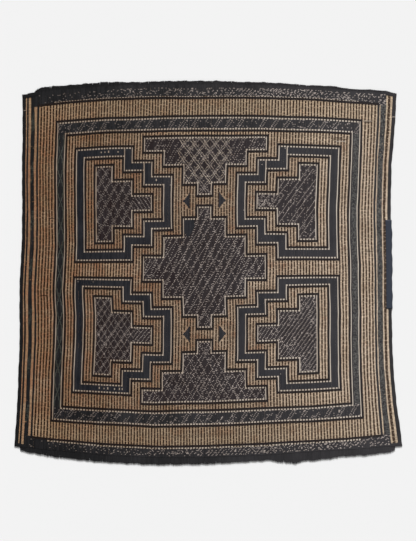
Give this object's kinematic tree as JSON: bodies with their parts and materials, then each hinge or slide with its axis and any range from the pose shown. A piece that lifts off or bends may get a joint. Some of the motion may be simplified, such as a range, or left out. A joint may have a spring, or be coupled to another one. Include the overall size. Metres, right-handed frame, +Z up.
{
  "type": "reed and leather mat",
  "caption": "Flat floor mat of reeds held by leather cords, with stepped leather-worked figures in a border, leather-bound sides and short fringes of cut cords at both ends.",
  "frame": {"origin": "middle of the mat's underside, on the surface that it lies on", "axes": "+Z up out of the mat's face, +Y towards the end that is at the top of the picture, +X towards the side with the patch"},
  "size_m": [1.707, 1.6922, 0.0056],
  "materials": {
    "reed_and_cord": "dry matt reeds with worn leather cords and leather-worked figures",
    "binding_leather": "worn matt black leather",
    "patch_leather": "newer blue-black leather with a low sheen",
    "cord_leather": "dry matt dark brown leather"
  },
  "bodies": {
    "root": {"mat_field": "reed_and_cord", "binding_left": "binding_leather", "binding_right": "binding_leather", "edge_patch": "patch_leather", "fringe_top": "cord_leather", "fringe_bottom": "cord_leather"}
  },
  "joints": []
}
